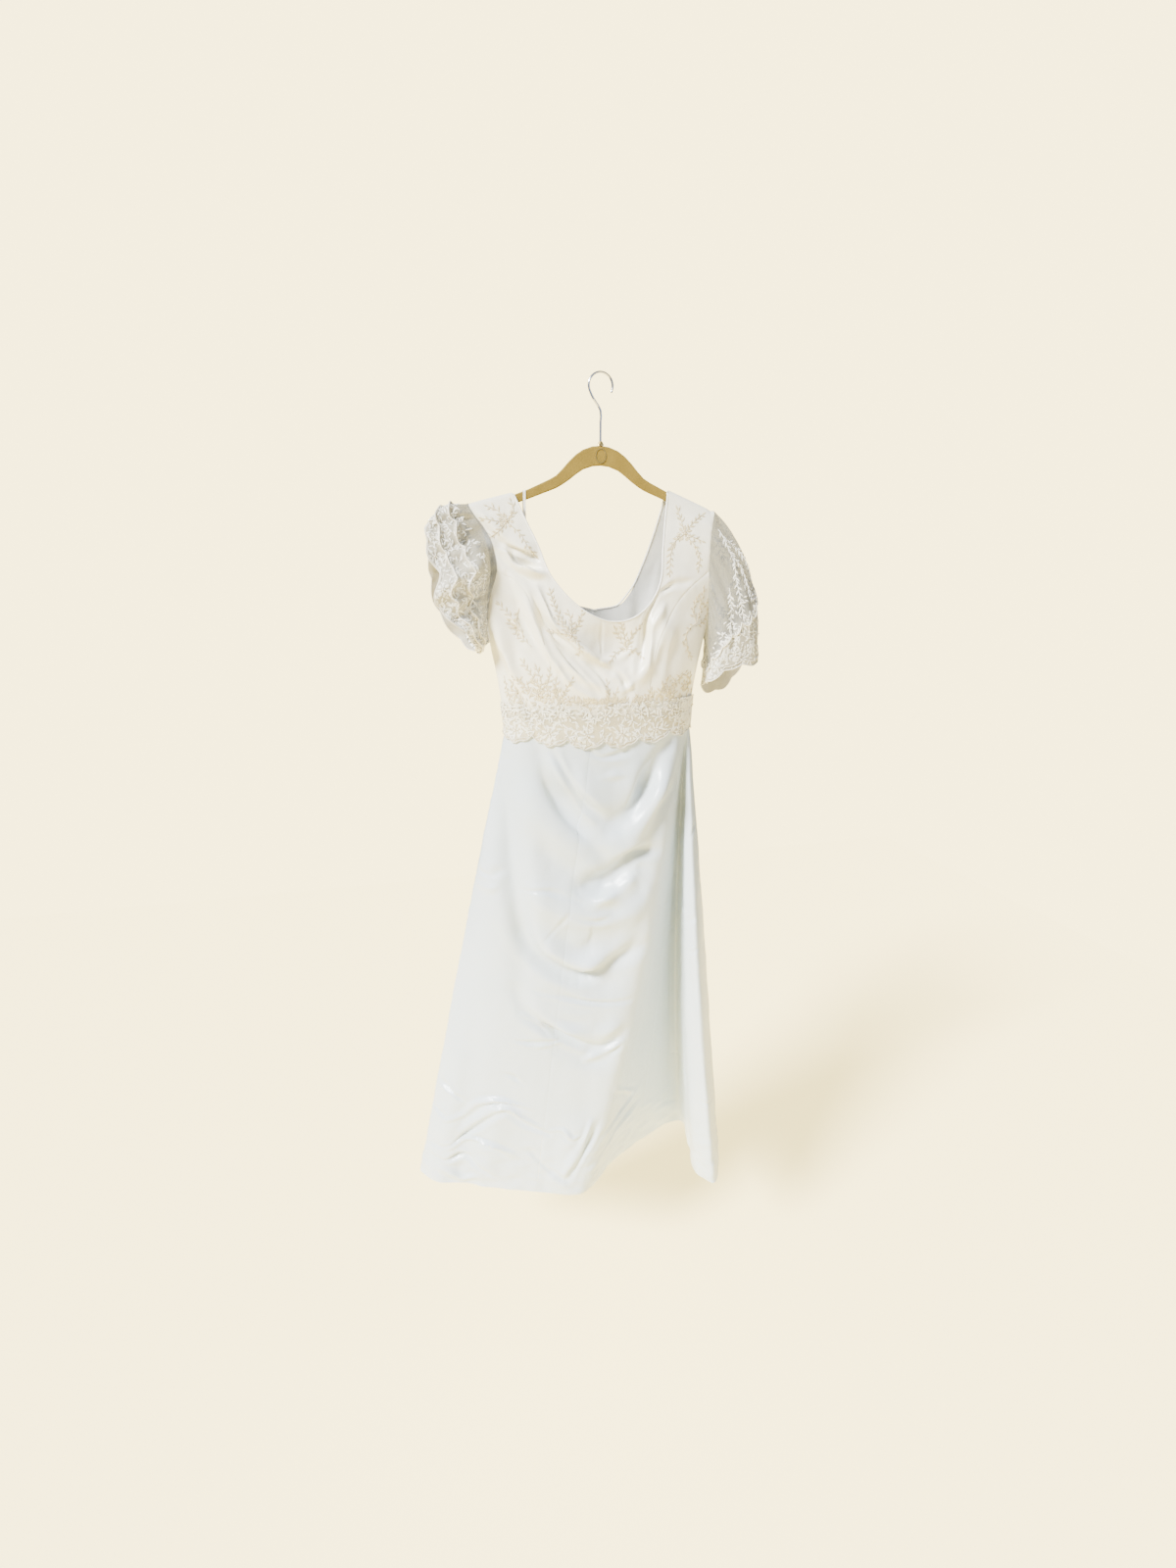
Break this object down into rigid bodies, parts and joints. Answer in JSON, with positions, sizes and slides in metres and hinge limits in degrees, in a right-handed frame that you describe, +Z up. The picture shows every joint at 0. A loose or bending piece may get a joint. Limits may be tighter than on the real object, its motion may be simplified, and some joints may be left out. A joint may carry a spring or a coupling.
{
  "type": "wedding dress on a hanger",
  "caption": "Long satin gown with a scoop neck, sheer bell sleeves, a lace band at the raised waist and a flared skirt, hung on a slim hanger with a wire hook.",
  "frame": {"origin": "inside top of the hook's loop, where the hanger rests on a rail or wall hook", "axes": "+Z up, the hanger along X, the dress's front towards -Y. Left and right in the node names are as seen from the front, so left is towards -X"},
  "size_m": [0.6995, 0.247, 1.6037],
  "materials": {
    "satin": "smooth satin",
    "organza": "sheer organza with embroidery",
    "lace": "embroidered lace",
    "flocking": "short flocked pile",
    "wire": "polished",
    "gilt": "polished"
  },
  "bodies": {
    "root": {"bodice_centre_front": "satin", "bodice_side_front_left": "satin", "bodice_side_front_right": "satin", "bodice_back_left": "satin", "bodice_back_right": "satin", "neck_piping": "satin", "skirt_front": "satin", "skirt_side_left": "satin", "skirt_side_right": "satin", "skirt_back_left": "satin", "skirt_back_right": "satin", "waist_lace_front": "lace", "waist_lace_back": "lace", "sleeve_left": "organza", "sleeve_right": "organza", "hanger_body": "flocking", "hanger_hook": "wire", "hook_ferrule": "gilt", "hanger_badge": "gilt", "hanger_ribbon": "satin"}
  },
  "joints": []
}
